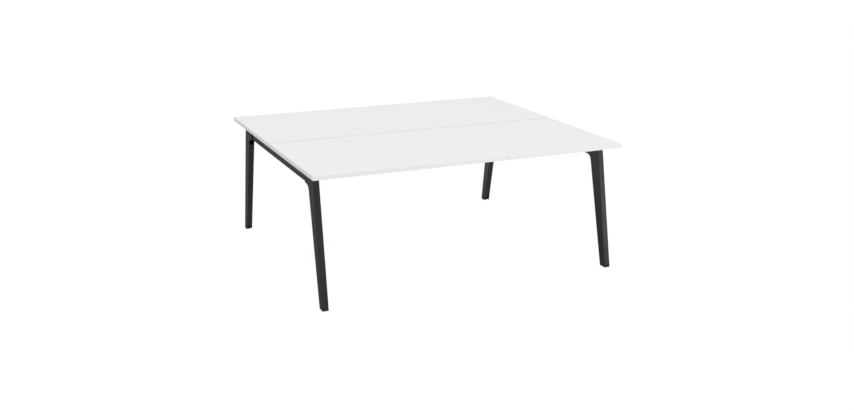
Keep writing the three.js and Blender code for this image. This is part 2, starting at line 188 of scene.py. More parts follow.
light = bpy.data.lights.new("front_right_lamp", "AREA")
light.shape = "RECTANGLE"
light.size = lamp_width
light.size_y = lamp_height
light.energy = lamp_power
light.color = lamp_colour
lamp = new_piece("front_right_lamp", light)
lamp.location = lamp_place
lamp.rotation_euler = (Vector(lamp_aim) - Vector(lamp_place)).to_track_quat("-Z", "Y").to_euler()

lens = bpy.data.cameras.new("photo_camera")
lens.sensor_width = camera_sensor
lens.lens = camera_lens
lens.shift_y = camera_shift
camera = new_piece("photo_camera", lens)
camera.location = camera_place
camera.rotation_euler = (math.pi / 2 - camera_dip, 0.0, -camera_turn)
bpy.context.scene.camera = camera
bpy.context.scene.view_settings.view_transform = "Standard"

# Legs: folded and welded sheet steel, hollow and tapered, with a rounded shoulder that the slimmer end rail
# butts against. A port under the shoulder lets a driver reach the worktop screw, and a notch at the floor
# lets a spanner reach the levelling stem. They are powder coated in satin anthracite.
along_x = Vector((1, 0, 0))
along_y = Vector((0, 1, 0))
along_z = Vector((0, 0, 1))
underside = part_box("front_worktop")[0].z
half_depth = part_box("rear_worktop_rear_edging")[1].y
rail_low, rail_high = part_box("right_end_rail")
rail_thickness = rail_high.x - rail_low.x
rail_bottom = rail_low.z
leg_low, leg_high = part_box("rear_right_leg")
frame_centre = (leg_low.x + leg_high.x) / 2
frame_thickness = leg_high.x - leg_low.x
leg_bottom = leg_low.z
leg_end = leg_low.y
head_screw_low, head_screw_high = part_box("rear_right_leg_head_screw")
head_screw_place = (head_screw_low.y + head_screw_high.y) / 2
frame_edge_radius = 0.003
frame_wall = 0.002
leg_head_inset = 0.134
leg_foot_inset = 0.013
leg_head_width = 0.094
leg_foot_width = 0.053
leg_head_radius = 0.0045
leg_foot_inner_radius = 0.008
leg_foot_outer_radius = 0.0012
shoulder_step = 0.0005
shoulder_slope = math.radians(4)
shoulder_radius = 0.036
window_margin = 0.003
port_width = 0.0266
port_height = 0.038
port_below_rail = 0.025
notch_width = 0.026
notch_height = 0.027
round_end_flat = 0.0003
screw_hole_radius = 0.0028
hole_sides = 24
cutter_overrun = 0.020
edge_steps = 5
ease_steps = 2
cut_edge_ease = 0.0005
smooth_under = math.radians(38)
coat_colour = (0.0145, 0.0205, 0.0210, 1.0)
coat_cloud_colour = (0.0175, 0.0240, 0.0245, 1.0)
coat_rubbed_colour = (0.034, 0.041, 0.042, 1.0)
coat_grain_share = 0.35


def rounded_outline(corners, steps):
    """Points round a closed outline of (corner, radius) pairs, with an arc wherever there is a radius."""
    points = []
    for index, (corner, radius) in enumerate(corners):
        if radius == 0:
            points.append(corner.copy())
            continue
        back = (corners[index - 1][0] - corner).normalized()
        ahead = (corners[(index + 1) % len(corners)][0] - corner).normalized()
        half_angle = back.angle(ahead) / 2
        centre = corner + (back + ahead).normalized() * (radius / math.sin(half_angle))
        start = corner + back * (radius / math.tan(half_angle)) - centre
        end = corner + ahead * (radius / math.tan(half_angle)) - centre
        sweep = math.pi - 2 * half_angle
        for step in range(steps + 1):
            share = step / steps
            swung = start * math.sin((1 - share) * sweep) + end * math.sin(share * sweep)
            points.append(centre + swung / math.sin(sweep))
    return points


def loft(name, rings):
    """A closed skin over a row of rings with equal counts of points, flat at both ends."""
    skin = bmesh.new()
    loops = [[skin.verts.new(point) for point in ring] for ring in rings]
    count = len(rings[0])
    for near, far in zip(loops, loops[1:]):
        for place in range(count):
            after = (place + 1) % count
            skin.faces.new((near[place], near[after], far[after], far[place]))
    skin.faces.new(loops[0])
    skin.faces.new(loops[-1])
    bmesh.ops.recalc_face_normals(skin, faces=skin.faces)
    mesh = bpy.data.meshes.new(name)
    skin.to_mesh(mesh)
    skin.free()
    return new_piece(name, mesh)


def bar(name, outline, start, end, across, up):
    """A straight bar from start to end, with its section drawn along the across and up directions."""
    rings = [[place + across * point.x + up * point.y for point in outline] for place in (start, end)]
    return loft(name, rings)


def bar_through(name, outline, place, along, before, beyond):
    """A bar along one of the desk's directions, from before a place to beyond it."""
    across, up = [direction for direction in (along_x, along_y, along_z) if direction != along]
    return bar(name, outline, place - along * before, place + along * beyond, across, up)


def circle(radius, sides):
    """Points round a circle about the origin."""
    turns = [2 * math.pi * side / sides for side in range(sides)]
    return [Vector((radius * math.cos(turn), radius * math.sin(turn))) for turn in turns]


def rectangle(width, height, radius=0, steps=1):
    """Points round a rectangle about the origin, with rounded corners if a radius is given."""
    corners = [(Vector((across * width / 2, up * height / 2)), radius) for across, up in square_corners]
    return rounded_outline(corners, steps)


def settle(piece):
    """Turns a piece's modifiers into plain mesh."""
    solved = piece.evaluated_get(bpy.context.evaluated_depsgraph_get())
    mesh = bpy.data.meshes.new_from_object(solved)
    rough = piece.data
    piece.modifiers.clear()
    piece.data = mesh
    bpy.data.meshes.remove(rough)


def cut(piece, cutters):
    """Cuts each of the cutters out of a piece and throws them away."""
    for cutter in cutters:
        saw = piece.modifiers.new("cut", "BOOLEAN")
        saw.operation = "DIFFERENCE"
        saw.solver = "EXACT"
        saw.object = cutter
    settle(piece)
    for cutter in cutters:
        mesh = cutter.data
        bpy.data.objects.remove(cutter)
        bpy.data.meshes.remove(mesh)


def ease_edges(piece, width):
    """Rounds a piece's sharp edges a little."""
    file = piece.modifiers.new("ease", "BEVEL")
    file.width = width
    file.segments = ease_steps
    file.limit_method = "ANGLE"
    file.angle_limit = smooth_under
    file.use_clamp_overlap = False
    settle(piece)


def shade(piece):
    """Shades flats flat and rounds round."""
    piece.data.shade_smooth()
    piece.data.set_sharp_from_angle(angle=smooth_under)
    shading = piece.modifiers.new("shading", "WEIGHTED_NORMAL")
    shading.keep_sharp = True
    settle(piece)


def copy_to(piece, name, matrix):
    """A copy of a piece in another place, with the place in its mesh."""
    mesh = piece.data.copy()
    mesh.transform(matrix)
    return new_piece(name, mesh)


def seat(piece, finish, slot, body, *nodes):
    """Gives a piece its finish, its body and the solids that it stands for."""
    piece.data.materials.clear()
    piece.data.materials.append(finish)
    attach(piece, body)
    if nodes:
        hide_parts(*nodes)


def edge_line(start, end, inwards):
    """A line along an edge, moved inwards to its left: a point on it and its direction."""
    along = (end - start).normalized()
    return start + Vector((-along.y, along.x)) * inwards, along


def crossing(first, second):
    """Where two lines cross."""
    (start, along), (other, other_along) = first, second
    return start + along * ((other - start).cross(other_along) / along.cross(other_along))


head_outer = Vector((half_depth - leg_head_inset, underside))
head_inner = head_outer - Vector((leg_head_width, 0))
foot_outer = Vector((half_depth - leg_foot_inset, 0))
foot_inner = foot_outer - Vector((leg_foot_width, 0))
shoulder_start = Vector((leg_end, rail_bottom - shoulder_step))
shoulder_drop = (head_inner.x - leg_end) * math.tan(shoulder_slope)
shoulder_end = Vector((head_inner.x, shoulder_start.y - shoulder_drop))


def leg_outline(inwards, end_place, foot_level, steps):
    """The leg from the side, with the outside of the desk to the right, drawn inside its true edges."""
    level = Vector((1, 0))
    shoulder = edge_line(shoulder_start, shoulder_end, inwards)
    inner = edge_line(head_inner, foot_inner, inwards)
    outer = edge_line(foot_outer, head_outer, inwards)
    foot = (Vector((0, foot_level)), level)
    head = (Vector((0, underside - inwards)), level)
    seam = (Vector((end_place, 0)), Vector((0, 1)))
    return rounded_outline([
        (crossing(shoulder, inner), shoulder_radius + inwards),
        (crossing(inner, foot), leg_foot_inner_radius - inwards),
        (crossing(foot, outer), leg_foot_outer_radius),
        (crossing(outer, head), leg_head_radius - inwards),
        (crossing(head, seam), 0),
        (crossing(seam, shoulder), 0),
    ], steps)


def leg_blank():
    """The solid leg with its long edges rounded."""
    rings = []
    for side in (1, -1):
        turns = range(edge_steps + 1) if side > 0 else range(edge_steps, -1, -1)
        for turn in turns:
            angle = math.pi / 2 * turn / edge_steps
            inwards = frame_edge_radius * (1 - math.sin(angle))
            across = frame_thickness / 2 - frame_edge_radius * (1 - math.cos(angle))
            outline = leg_outline(inwards, leg_end - cutter_overrun, leg_bottom, 2 * edge_steps)
            rings.append([Vector((side * across, point.x, point.y)) for point in outline])
    return loft("leg", rings)


def leg_hollow():
    """The inside of the leg, open at the foot."""
    half_width = frame_thickness / 2 - frame_wall
    outline = leg_outline(frame_wall, leg_end + frame_wall, -cutter_overrun, edge_steps)
    return bar_through("hollow", outline, Vector((0, 0, 0)), along_x, half_width, half_width)


def slot_outline(width, height):
    """Points round a slot with round ends."""
    return rectangle(width, height, width / 2 - round_end_flat, 2 * edge_steps)


def leg_cutters():
    """The square end and its window, the screw hole, the driver port and the spanner notch."""
    rail_height = underside - rail_bottom
    past_end = rectangle(2 * frame_thickness, 4 * rail_height)
    window = rectangle(rail_thickness - 2 * frame_wall, rail_height - 2 * window_margin)
    window_place = Vector((0, leg_end, underside - rail_height / 2))
    screw_hole = circle(screw_hole_radius, hole_sides)
    screw_place = Vector((0, head_screw_place, underside))
    port = slot_outline(port_width, port_height)
    port_level = rail_bottom - port_below_rail
    port_wall = foot_inner.x + (head_inner.x - foot_inner.x) * port_level / underside
    port_place = Vector((0, port_wall, port_level))
    notch = slot_outline(notch_width, 2 * notch_height)
    notch_place = Vector((0, foot_inner.x, leg_bottom))
    return [
        bar_through("past_end", past_end, Vector((0, leg_end, underside)), along_y, 4 * cutter_overrun, 0),
        bar_through("window", window, window_place, along_y, cutter_overrun, cutter_overrun),
        bar_through("screw_hole", screw_hole, screw_place, along_z, cutter_overrun, cutter_overrun),
        bar_through("port", port, port_place, along_y, cutter_overrun, cutter_overrun),
        bar_through("notch", notch, notch_place, along_y, cutter_overrun, cutter_overrun / 2),
    ]


def blend(tree, share, first, second):
    """A colour between two others."""
    return wire(tree, "ShaderNodeMix", {0: share, 6: first, 7: second}, data_type="RGBA").outputs[2]


def relief(tree, height, strength, depth):
    """A fine relief from a pattern."""
    bump = wire(tree, "ShaderNodeBump", {"Height": height, "Strength": strength, "Distance": depth})
    return bump.outputs[0]


def end_finish(tree, skin):
    """Ends a material with one skin."""
    surface = wire(tree, "ShaderNodeBsdfPrincipled", skin)
    wire(tree, "ShaderNodeOutputMaterial", {"Surface": surface.outputs[0]})


def powder_coat():
    """Satin anthracite powder coat: fine orange peel, cloudy gloss, and edges rubbed a little lighter."""
    finish, tree, place = new_finish("anthracite_powder_coat")
    peel = noise(tree, place, scale=650.0, detail=2.0)
    grain = noise(tree, place, scale=3800.0, detail=1.0)
    clouds = noise(tree, place, scale=7.0, detail=5.0)
    height = wire(tree, "ShaderNodeMath", {0: grain, 1: coat_grain_share, 2: peel}, operation="MULTIPLY_ADD")
    rounded = wire(tree, "ShaderNodeBevel", {"Radius": 0.0025}, samples=4)
    facing = wire(tree, "ShaderNodeNewGeometry").outputs["Normal"]
    turn = wire(tree, "ShaderNodeVectorMath", {0: rounded.outputs[0], 1: facing}, operation="DOT_PRODUCT")
    edge = wire(tree, "ShaderNodeMapRange", {
        "Value": turn.outputs["Value"], "From Min": 0.985, "From Max": 0.85, "To Min": 0.0, "To Max": 1.0})
    rub = wire(tree, "ShaderNodeMath", {0: edge.outputs[0], 1: clouds}, operation="MULTIPLY")
    cloudy = blend(tree, clouds, coat_colour, coat_cloud_colour)
    end_finish(tree, {
        "Base Color": blend(tree, rub.outputs[0], cloudy, coat_rubbed_colour),
        "Roughness": between(tree, clouds, low=0.40, high=0.56),
        "Normal": relief(tree, height.outputs[0], strength=0.3, depth=0.0003),
    })
    return finish


anthracite = powder_coat()
leg = leg_blank()
cut(leg, leg_cutters())
ease_edges(leg, cut_edge_ease)
cut(leg, [leg_hollow()])
shade(leg)
rows = {"front": -1, "rear": 1}
ends = {"left": -1, "right": 1}
corner_places = {}
for row, row_side in rows.items():
    for end, end_side in ends.items():
        half_turn = Matrix.Rotation(math.pi if row_side < 0 else 0.0, 4, "Z")
        corner_places[f"{row}_{end}"] = Matrix.Translation((end_side * frame_centre, 0, 0)) @ half_turn
for corner, place in corner_places.items():
    seat(copy_to(leg, f"{corner}_coated_leg", place), anthracite, "anthracite_coat", "frame", f"{corner}_leg")
bpy.data.objects.remove(leg)

# End rails: rectangular steel tube, cut square and coated with the legs, and set back from both of their
# faces. The inner face is drilled for the beam and spigot bolts, the top for the worktop screws, and the
# bottom for the driver.
driver_hole_radius = 0.0065
bolt_hole_radius = 0.0043
upright_hole_sides = 28
bore_steps = 2
hole_edge_ease = 0.0004


def middle_of(node):
    """The middle of a solid's box."""
    low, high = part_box(node)
    return (low + high) / 2


def on_rail(bolt, end_side):
    """Where a bolt goes into the inner face of a rail."""
    middle = middle_of(bolt)
    return Vector((end_side * (frame_centre - rail_thickness / 2), middle.y, middle.z))


def rail_holes(end, end_side):
    """Cutters for the holes in one rail."""
    bolt_hole = circle(bolt_hole_radius, hole_sides)
    bolt_reach = rail_thickness / 4
    upright_reach = cutter_overrun / 2
    cutters = []
    for row in rows:
        bolts = [f"{row}_beam_{end}_{edge}_bolt" for edge in rows] + [f"{row}_{end}_spigot_bolt"]
        for bolt in bolts:
            place = on_rail(bolt, end_side)
            cutters.append(bar_through("bolt_hole", bolt_hole, place, along_x, bolt_reach, bolt_reach))
        middle = middle_of(f"{row}_{end}_rail_screw")
        for level, radius in ((underside, screw_hole_radius), (rail_bottom, driver_hole_radius)):
            hole = circle(radius, upright_hole_sides)
            place = Vector((middle.x, middle.y, level))
            cutters.append(bar_through("upright_hole", hole, place, along_z, upright_reach, upright_reach))
    return cutters


def tube(name, width, height, radius, wall, start, end, across, up, holes=()):
    """A rectangular tube with rounded edges from start to end, with holes in its walls if any are given."""
    outside = bar(name, rectangle(width, height, radius, edge_steps), start, end, across, up)
    if holes:
        cut(outside, holes)
        ease_edges(outside, hole_edge_ease)
    beyond = (end - start).normalized() * cutter_overrun
    bore = rectangle(width - 2 * wall, height - 2 * wall, radius - wall, bore_steps)
    cut(outside, [bar("bore", bore, start - beyond, end + beyond, across, up)])
    shade(outside)
    return outside


for end, end_side in ends.items():
    low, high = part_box(f"{end}_end_rail")
    middle = (low + high) / 2
    rail = tube(f"{end}_coated_rail", rail_thickness, high.z - low.z, frame_edge_radius, frame_wall,
                Vector((middle.x, low.y, middle.z)), Vector((middle.x, high.y, middle.z)),
                along_x, along_z, rail_holes(end, end_side))
    seat(rail, anthracite, "anthracite_coat", "frame", f"{end}_end_rail")

# Rail spigots: short lengths of zinc-plated tube that fill both sides of each seam from the inside.
# They hide in the frame, so they keep the shape of their solids and get the plated finish.
zinc_colour = (0.55, 0.57, 0.59, 1.0)
zinc_warm_colour = (0.60, 0.59, 0.54, 1.0)


def zinc_plate():
    """Bright zinc plating: a cool metal with faint warm clouds and fine handling marks."""
    finish, tree, place = new_finish("zinc_plate")
    clouds = noise(tree, place, scale=120.0, detail=4.0)
    marks = noise(tree, place, scale=2500.0, detail=2.0)
    end_finish(tree, {
        "Base Color": blend(tree, clouds, zinc_colour, zinc_warm_colour),
        "Metallic": 1.0,
        "Roughness": between(tree, clouds, low=0.24, high=0.46),
        "Normal": relief(tree, marks, strength=0.2, depth=0.00008),
    })
    return finish


zinc = zinc_plate()
for corner in corner_places:
    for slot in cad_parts[f"{corner}_rail_spigot"].material_slots:
        slot.material = zinc

# Spigot bolts: zinc-plated button-head bolts with a hexagon socket, one on the inner face of the rail at
# each seam. Each goes through the rail into its spigot.
bolt_radius = 0.004
button_radius = 0.007
button_height = 0.0044
button_sizes = {
    "Head Radius": button_radius,
    "Head Height": button_height,
    "Crown Radius": (button_radius ** 2 + button_height ** 2) / (2 * button_height),
    "Socket Radius": 0.0029,
    "Socket Depth": 0.0026,
    "Shank Radius": bolt_radius,
    "Shank Length": 0.012,
}
button_sides = 48
button_rings = 32
hexagon_sides = 6
shank_sides = 24
shank_share_in_head = 0.5
crease_from = math.radians(25)


def growing_tree(name, sizes):
    """A geometry tree that starts from points or a mesh and takes named sizes in metres."""
    tree = bpy.data.node_groups.new(name, "GeometryNodeTree")
    tree.interface.new_socket("Start", in_out="INPUT", socket_type="NodeSocketGeometry")
    for size in sizes:
        tree.interface.new_socket(size, in_out="INPUT", socket_type="NodeSocketFloat")
    tree.interface.new_socket("Mesh", in_out="OUTPUT", socket_type="NodeSocketGeometry")
    return tree, wire(tree, "NodeGroupInput").outputs


def sum_of(tree, kind, first, second):
    """The result of one sum on two sockets or numbers."""
    return wire(tree, "ShaderNodeMath", {0: first, 1: second}, operation=kind).outputs[0]


def plus(tree, first, second):
    """Two lengths together."""
    return sum_of(tree, "ADD", first, second)


def minus(tree, first, second):
    """One length less another."""
    return sum_of(tree, "SUBTRACT", first, second)


def times(tree, length, factor):
    """A length a number of times."""
    return sum_of(tree, "MULTIPLY", length, factor)


def lifted(tree, mesh, height):
    """A mesh moved up its own axis."""
    up = wire(tree, "ShaderNodeCombineXYZ", {"Z": height})
    return wire(tree, "GeometryNodeTransform", {"Geometry": mesh, "Translation": up.outputs[0]}).outputs[0]


def round_bar(tree, radius, bottom, length, sides):
    """A bar that stands on a level."""
    shape = wire(tree, "GeometryNodeMeshCylinder", {"Vertices": sides, "Radius": radius, "Depth": length})
    return lifted(tree, shape.outputs["Mesh"], plus(tree, bottom, times(tree, length, 0.5)))


def combined(tree, kind, *meshes):
    """Meshes joined, or what they share, or the first with the others cut out."""
    inputs = {1: list(meshes)}
    if kind == "DIFFERENCE":
        inputs = {0: meshes[0], 1: list(meshes[1:])}
    return wire(tree, "GeometryNodeMeshBoolean", inputs, operation=kind, solver="EXACT").outputs["Mesh"]


def end_tree(tree, mesh, finish):
    """Ends a tree with plain mesh in one finish."""
    real = wire(tree, "GeometryNodeRealizeInstances", {"Geometry": mesh})
    coated = wire(tree, "GeometryNodeSetMaterial", {"Geometry": real.outputs[0], "Material": finish})
    wire(tree, "NodeGroupOutput", {"Mesh": coated.outputs[0]})


def copies_on_points(tree, points, shape):
    """A copy of a shape on each point, with its axis along the point's facing."""
    facing = wire(tree, "GeometryNodeInputNamedAttribute", {"Name": "facing"}, data_type="FLOAT_VECTOR")
    turn = wire(tree, "FunctionNodeAlignRotationToVector", {"Vector": facing.outputs[0]}, axis="Z")
    copies = wire(tree, "GeometryNodeInstanceOnPoints", {
        "Points": points, "Instance": shape, "Rotation": turn.outputs[0]})
    return copies.outputs[0]


def points_facing(name, places):
    """Loose points from (place, facing) pairs."""
    mesh = bpy.data.meshes.new(name)
    mesh.from_pydata([place for place, facing in places], [], [])
    facings = mesh.attributes.new("facing", "FLOAT_VECTOR", "POINT")
    for item, (place, facing) in zip(facings.data, places):
        item.vector = facing
    return new_piece(name, mesh)


def grow(piece, tree, sizes):
    """Runs a tree on a piece with its sizes, and keeps the result as plain mesh."""
    growth = piece.modifiers.new("growth", "NODES")
    growth.node_group = tree
    for socket in tree.interface.items_tree:
        if socket.in_out == "INPUT" and socket.name in sizes:
            growth[socket.identifier] = sizes[socket.name]
    settle(piece)
    piece.data.shade_smooth()
    piece.data.set_sharp_from_angle(angle=crease_from)


def domed_head(tree, given, bottom, crown_place, sides, rings):
    """A round head cut to the shape of a ball."""
    slug = round_bar(tree, given["Head Radius"], bottom, given["Head Height"], sides)
    ball = wire(tree, "GeometryNodeMeshUVSphere", {
        "Segments": sides, "Rings": rings, "Radius": given["Crown Radius"]})
    return combined(tree, "INTERSECT", slug, lifted(tree, ball.outputs["Mesh"], crown_place))


def shank_below(tree, given, in_head):
    """A round shank that hangs from a head and reaches a little into it."""
    bottom = times(tree, given["Shank Length"], -1.0)
    length = plus(tree, given["Shank Length"], in_head)
    return round_bar(tree, given["Shank Radius"], bottom, length, shank_sides)


def button_bolt_tree():
    """A domed head with a hexagon socket, and a shank below it."""
    tree, given = growing_tree("button_bolt", button_sizes)
    crown_place = minus(tree, given["Head Height"], given["Crown Radius"])
    dome = domed_head(tree, given, 0.0, crown_place, button_sides, button_rings)
    socket_floor = minus(tree, given["Head Height"], given["Socket Depth"])
    socket = round_bar(tree, given["Socket Radius"], socket_floor, given["Head Height"], hexagon_sides)
    shank = shank_below(tree, given, times(tree, socket_floor, shank_share_in_head))
    bolt = combined(tree, "UNION", combined(tree, "DIFFERENCE", dome, socket), shank)
    end_tree(tree, copies_on_points(tree, given["Start"], bolt), zinc)
    return tree


button_places = []
for row in rows:
    for end, end_side in ends.items():
        button_places.append((on_rail(f"{row}_{end}_spigot_bolt", end_side), -end_side * along_x))
spigot_bolts = points_facing("spigot_bolts", button_places)
grow(spigot_bolts, button_bolt_tree(), button_sizes)
seat(spigot_bolts, zinc, "zinc_steel", "frame", *(f"{corner}_spigot_bolt" for corner in corner_places))

# Beams: one rectangular tube under the middle of each worktop, coated like the frames. They tie the two end
# frames together and carry the boards.
beam_radius = 0.003
beam_wall = 0.002


def box_ends(low, high):
    """The middles of a box's two faces along the desk."""
    middle = (low + high) / 2
    return [Vector((x, middle.y, middle.z)) for x in (low.x, high.x)]


for row in rows:
    low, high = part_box(f"{row}_beam")
    beam = tube(f"{row}_coated_beam", high.y - low.y, high.z - low.z, beam_radius, beam_wall,
                *box_ends(low, high), along_y, along_z)
    seat(beam, anthracite, "anthracite_coat", "frame", f"{row}_beam")

# Beam end plates: flat steel with rounded corners, welded square to each beam end and coated with it.
# Two holes in each take the bolts into the rail.
plate_corner_radius = 0.006
plate_edge_ease = 0.0006

for row in rows:
    for end in ends:
        low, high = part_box(f"{row}_beam_{end}_end_plate")
        outline = rectangle(high.y - low.y, high.z - low.z, plate_corner_radius, edge_steps)
        plate = bar(f"{row}_{end}_coated_plate", outline, *box_ends(low, high), along_y, along_z)
        holes = []
        for edge in rows:
            bolt = middle_of(f"{row}_beam_{end}_{edge}_bolt")
            place = Vector(((low.x + high.x) / 2, bolt.y, bolt.z))
            hole = circle(bolt_hole_radius, hole_sides)
            holes.append(bar_through("bolt_hole", hole, place, along_x, cutter_overrun, cutter_overrun))
        cut(plate, holes)
        ease_edges(plate, plate_edge_ease)
        shade(plate)
        seat(plate, anthracite, "anthracite_coat", "frame", f"{row}_beam_{end}_end_plate")

# Weld beads: a rippled fillet of weld down both sides and along the bottom of each beam where it meets its
# end plate, made before the coating and coated over.
bead_sizes = {
    "Bead Radius": 0.0022,
    "Ripple Length": 0.0024,
    "Ripple Depth": 0.16,
    "Step": 0.0006,
}
bead_sides = 16
bead_corner_radius = 0.0035


def weld_bead_tree():
    """A round bead along each path, swelling at every ripple."""
    tree, given = growing_tree("weld_bead", bead_sizes)
    path = wire(tree, "GeometryNodeMeshToCurve", {"Mesh": given["Start"]})
    fine = wire(tree, "GeometryNodeResampleCurve", {
        "Curve": path.outputs[0], "Length": given["Step"]}, mode="LENGTH")
    along = wire(tree, "GeometryNodeSplineParameter").outputs["Length"]
    ripples = times(tree, sum_of(tree, "DIVIDE", along, given["Ripple Length"]), 2 * math.pi)
    swell = wire(tree, "ShaderNodeMath", {0: ripples}, operation="SINE").outputs[0]
    section = wire(tree, "GeometryNodeCurvePrimitiveCircle", {
        "Resolution": bead_sides, "Radius": given["Bead Radius"]})
    bead = wire(tree, "GeometryNodeCurveToMesh", {
        "Curve": fine.outputs[0],
        "Profile Curve": section.outputs["Curve"],
        "Scale": plus(tree, times(tree, swell, given["Ripple Depth"]), 1.0),
        "Fill Caps": True,
    })
    end_tree(tree, bead.outputs[0], anthracite)
    return tree


def bead_paths():
    """Points and edges down one side of each beam end, under it and up the other side."""
    points, edges = [], []
    for row in rows:
        low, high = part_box(f"{row}_beam")
        half_width = (high.y - low.y) / 2
        half_height = (high.z - low.z) / 2
        top = half_height - bead_sizes["Bead Radius"]
        path = rounded_outline([
            (Vector((-half_width, top)), 0),
            (Vector((-half_width, -half_height)), bead_corner_radius),
            (Vector((half_width, -half_height)), bead_corner_radius),
            (Vector((half_width, top)), 0),
        ], edge_steps)
        for middle in box_ends(low, high):
            first = len(points)
            points += [middle + along_y * point.x + along_z * point.y for point in path]
            edges += [(place, place + 1) for place in range(first, len(points) - 1)]
    return points, edges


bead_mesh = bpy.data.meshes.new("weld_beads")
bead_points, bead_edges = bead_paths()
bead_mesh.from_pydata(bead_points, bead_edges, [])
weld_beads = new_piece("weld_beads", bead_mesh)
grow(weld_beads, weld_bead_tree(), bead_sizes)
seat(weld_beads, anthracite, "anthracite_coat", "frame")

# Beam bolts: zinc-plated hexagon-head bolts, two through each end plate into the rail. The heads have the
# usual turned chamfer on their corners.
hex_bolt_sizes = {
    "Corner Radius": 0.013 / math.sqrt(3),
    "Head Height": 0.0053,
    "Chamfer Radius": 0.0062,
    "Shank Radius": bolt_radius,
    "Shank Length": 0.018,
}
chamfer_run = math.sqrt(3)
chamfer_sides = 60


def chamfered_hexagon(tree, corner_radius, height, chamfer_radius):
    """A hexagon that stands on the ground, with the corners of its top turned off."""
    block = round_bar(tree, corner_radius, 0.0, height, hexagon_sides)
    cone = wire(tree, "GeometryNodeMeshCone", {
        "Vertices": chamfer_sides,
        "Radius Top": chamfer_radius,
        "Radius Bottom": plus(tree, chamfer_radius, times(tree, height, chamfer_run)),
        "Depth": height,
    })
    return combined(tree, "INTERSECT", block, cone.outputs["Mesh"])


def hex_bolt_tree():
    """A chamfered hexagon head and a shank below it."""
    tree, given = growing_tree("hex_bolt", hex_bolt_sizes)
    head = chamfered_hexagon(tree, given["Corner Radius"], given["Head Height"], given["Chamfer Radius"])
    shank = shank_below(tree, given, times(tree, given["Head Height"], shank_share_in_head))
    end_tree(tree, copies_on_points(tree, given["Start"], combined(tree, "UNION", head, shank)), zinc)
    return tree


hex_places = []
hex_nodes = []
for row in rows:
    for end, end_side in ends.items():
        plate_low, plate_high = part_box(f"{row}_beam_{end}_end_plate")
        plate_face = plate_low.x if end_side > 0 else plate_high.x
        for edge in rows:
            node = f"{row}_beam_{end}_{edge}_bolt"
            middle = middle_of(node)
            hex_places.append((Vector((plate_face, middle.y, middle.z)), -end_side * along_x))
            hex_nodes.append(node)
beam_bolts = points_facing("beam_bolts", hex_places)
grow(beam_bolts, hex_bolt_tree(), hex_bolt_sizes)
seat(beam_bolts, zinc, "zinc_steel", "frame", *hex_nodes)

# Foot inserts: moulded black plastic blocks pressed into the bottom of each leg, with a threaded bore for
# the levelling stem and a moulding pocket on either side of it.
insert_gap = 0.0003
insert_bore_radius = 0.0055
insert_bore_sides = 32
insert_pocket_width = 0.008
insert_pocket_length = 0.018
insert_pocket_depth = 0.014
insert_pocket_radius = 0.002
insert_pocket_steps = 3
insert_pocket_from_bore = 0.0135
insert_edge_ease = 0.0006
# Black, and darker than real black plastic: painted shade for the dark inside the hollow legs and notches.
plastic_painted_shade_colour = (0.005, 0.005, 0.0055, 1.0)
plastic_painted_shade_pale_colour = (0.008, 0.008, 0.0085, 1.0)
pad_low, pad_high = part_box("rear_right_floor_pad")
stem_place = (pad_low.y + pad_high.y) / 2


def moulded_plastic():
    """Black moulded plastic darkened with painted shade, a fine spark-eroded grain and slightly uneven gloss.
    """
    finish, tree, place = new_finish("black_moulded_plastic_painted_shade")
    grain = wire(tree, "ShaderNodeTexVoronoi", {"Vector": place, "Scale": 2600.0})
    clouds = noise(tree, place, scale=90.0, detail=3.0)
    end_finish(tree, {
        "Base Color": blend(tree, clouds, plastic_painted_shade_colour, plastic_painted_shade_pale_colour),
        "Roughness": between(tree, clouds, low=0.55, high=0.75),
        "Normal": relief(tree, grain.outputs["Distance"], strength=0.35, depth=0.0001),
        "Specular IOR Level": 0.1,
    })
    return finish


def insert_block():
    """The insert for a rear leg at the middle of the desk's length."""
    low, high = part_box("rear_right_foot_insert")
    inwards = frame_wall + insert_gap
    inner = edge_line(head_inner, foot_inner, inwards)
    outer = edge_line(foot_outer, head_outer, inwards)
    bottom, top = [(Vector((0, level)), Vector((1, 0))) for level in (low.z, high.z)]
    outline = [crossing(inner, bottom), crossing(outer, bottom), crossing(outer, top), crossing(inner, top)]
    half_width = (high.x - low.x) / 2
    block = bar_through("insert", outline, Vector((0, 0, 0)), along_x, half_width, half_width)
    bore = circle(insert_bore_radius, insert_bore_sides)
    bore_place = Vector((0, stem_place, low.z))
    cutters = [bar_through("bore", bore, bore_place, along_z, cutter_overrun, 2 * cutter_overrun)]
    pocket = rectangle(insert_pocket_length, insert_pocket_width, insert_pocket_radius, insert_pocket_steps)
    for side in (-1, 1):
        place = bore_place + along_y * side * insert_pocket_from_bore
        cutters.append(bar_through("pocket", pocket, place, along_z, cutter_overrun, insert_pocket_depth))
    cut(block, cutters)
    ease_edges(block, insert_edge_ease)
    shade(block)
    return block


black_plastic = moulded_plastic()
insert = insert_block()
for corner, place in corner_places.items():
    moulded = copy_to(insert, f"{corner}_moulded_insert", place)
    seat(moulded, black_plastic, "black_plastic", "frame", f"{corner}_foot_insert")
bpy.data.objects.remove(insert)

# Levelling stems: zinc-plated M10 threaded bars with a hexagon near the foot, turned by a spanner through the
# notch. The neck below the hexagon turns in the pad's socket.
stem_sizes = {
    "Thread Radius": 0.005,
    "Thread Pitch": 0.0015,
    "Thread Depth": 0.0008,
    "Bar Length": 0.036,
    "Hexagon Radius": 0.017 / math.sqrt(3),
    "Hexagon Height": 0.007,
    "Chamfer Radius": 0.0081,
    "Neck Radius": 0.004,
    "Neck Length": 0.003,
}
stem_share_in_hexagon = 0.4
thread_steps = 24
ridge_sides = 4


